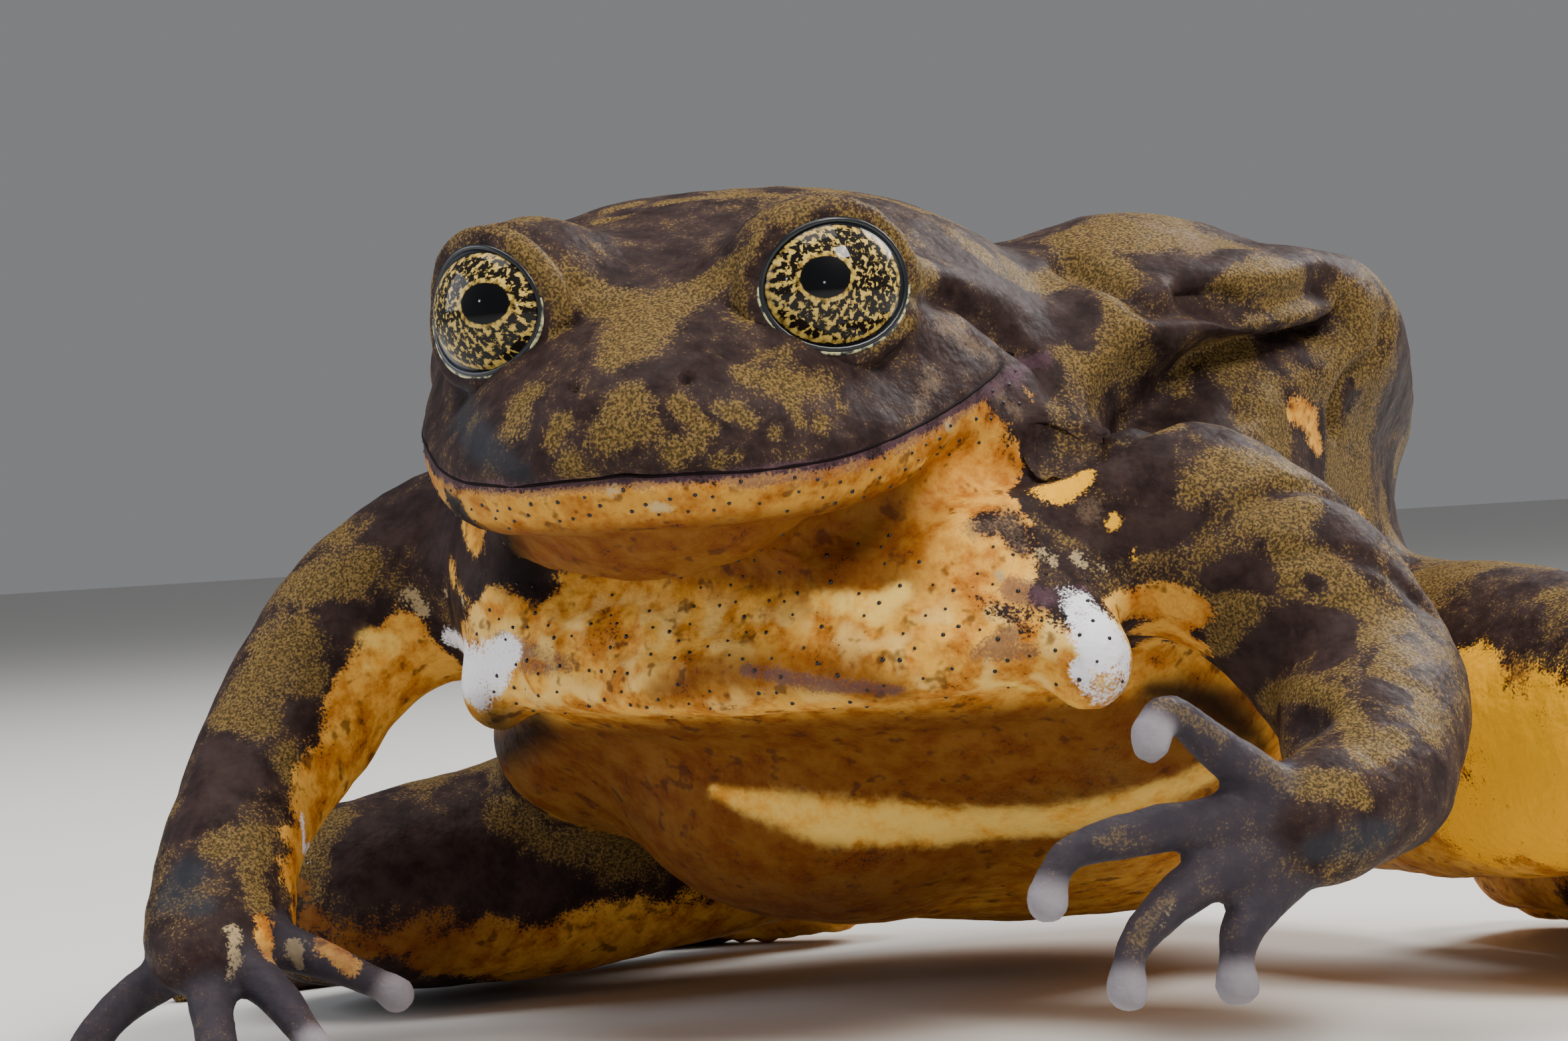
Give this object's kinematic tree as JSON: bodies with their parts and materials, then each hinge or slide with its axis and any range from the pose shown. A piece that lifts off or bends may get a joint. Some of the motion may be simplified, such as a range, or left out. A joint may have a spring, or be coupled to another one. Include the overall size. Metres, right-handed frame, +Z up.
{
  "type": "sehuencas water frog",
  "caption": "Still life-size model of a fat water frog, sitting on its right hand with its left hand raised, belly sagging and hind legs folded.",
  "frame": {"origin": "centre of the footprint of the whole model's box, on the floor", "axes": "+Z up, the trunk runs along Y with the snout towards -Y, the frog's left side at +X"},
  "size_m": [0.0804, 0.0554, 0.0309],
  "materials": {
    "olive_skin": "wet skin, purple-brown with gold-olive patches of fine speckles",
    "dark_skin": "wet skin, dark purple-brown with gold speckles and pale finger tips",
    "orange_skin": "wet skin, orange and yellow below with dark spots, olive and dark above",
    "eye": "glossy, gold iris with dark flecks and a black pupil"
  },
  "bodies": {
    "root": {"head": "olive_skin", "torso": "orange_skin", "upper_arm_left": "dark_skin", "upper_arm_right": "dark_skin", "forearm_left": "dark_skin", "forearm_right": "dark_skin", "hand_left": "dark_skin", "hand_right": "dark_skin", "thigh_left": "orange_skin", "thigh_right": "orange_skin", "shank_left": "dark_skin", "shank_right": "dark_skin", "foot_left": "dark_skin", "foot_right": "dark_skin", "eye_left": "eye", "eye_right": "eye"}
  },
  "joints": []
}
